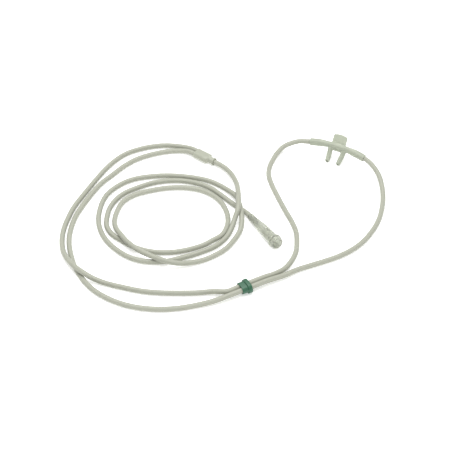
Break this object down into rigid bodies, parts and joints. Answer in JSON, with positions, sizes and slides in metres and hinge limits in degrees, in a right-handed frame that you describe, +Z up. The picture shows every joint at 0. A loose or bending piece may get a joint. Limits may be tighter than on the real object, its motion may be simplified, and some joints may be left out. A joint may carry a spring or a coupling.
{
  "type": "nasal oxygen cannula",
  "caption": "Adult nasal oxygen cannula lying loose: pronged nosepiece, branch tubes, slider, Y-connector, coiled supply tube, end connector.",
  "frame": {"origin": "on the table, under the middle of the nosepiece", "axes": "+X along the nosepiece from its left collar to its right collar as the picture shows it, +Y from the prongs towards the lip tab, +Z up"},
  "size_m": [0.2931, 0.306, 0.025],
  "materials": {
    "soft_pvc": "soft translucent pale green PVC, semi-gloss",
    "tube_pvc": "translucent pale green-grey PVC tubing, glossy",
    "green_plastic": "opaque dark green moulded plastic, satin",
    "clear_plastic": "clear moulded plastic, glossy"
  },
  "bodies": {
    "cannula": {"nosepiece": "soft_pvc", "left_branch_tube": "tube_pvc", "right_branch_tube": "tube_pvc", "y_connector": "clear_plastic", "supply_tube_lead": "tube_pvc", "supply_tube_coil": "tube_pvc", "supply_tube_tail": "tube_pvc", "end_connector": "clear_plastic"},
    "slider": {"slider": "green_plastic"}
  },
  "joints": [
    {"name": "slider_slide", "type": "slide", "parent": "cannula", "child": "slider", "axis": [0.5592, 0.829, 0], "range_m": [-0.008, 0.013]}
  ]
}
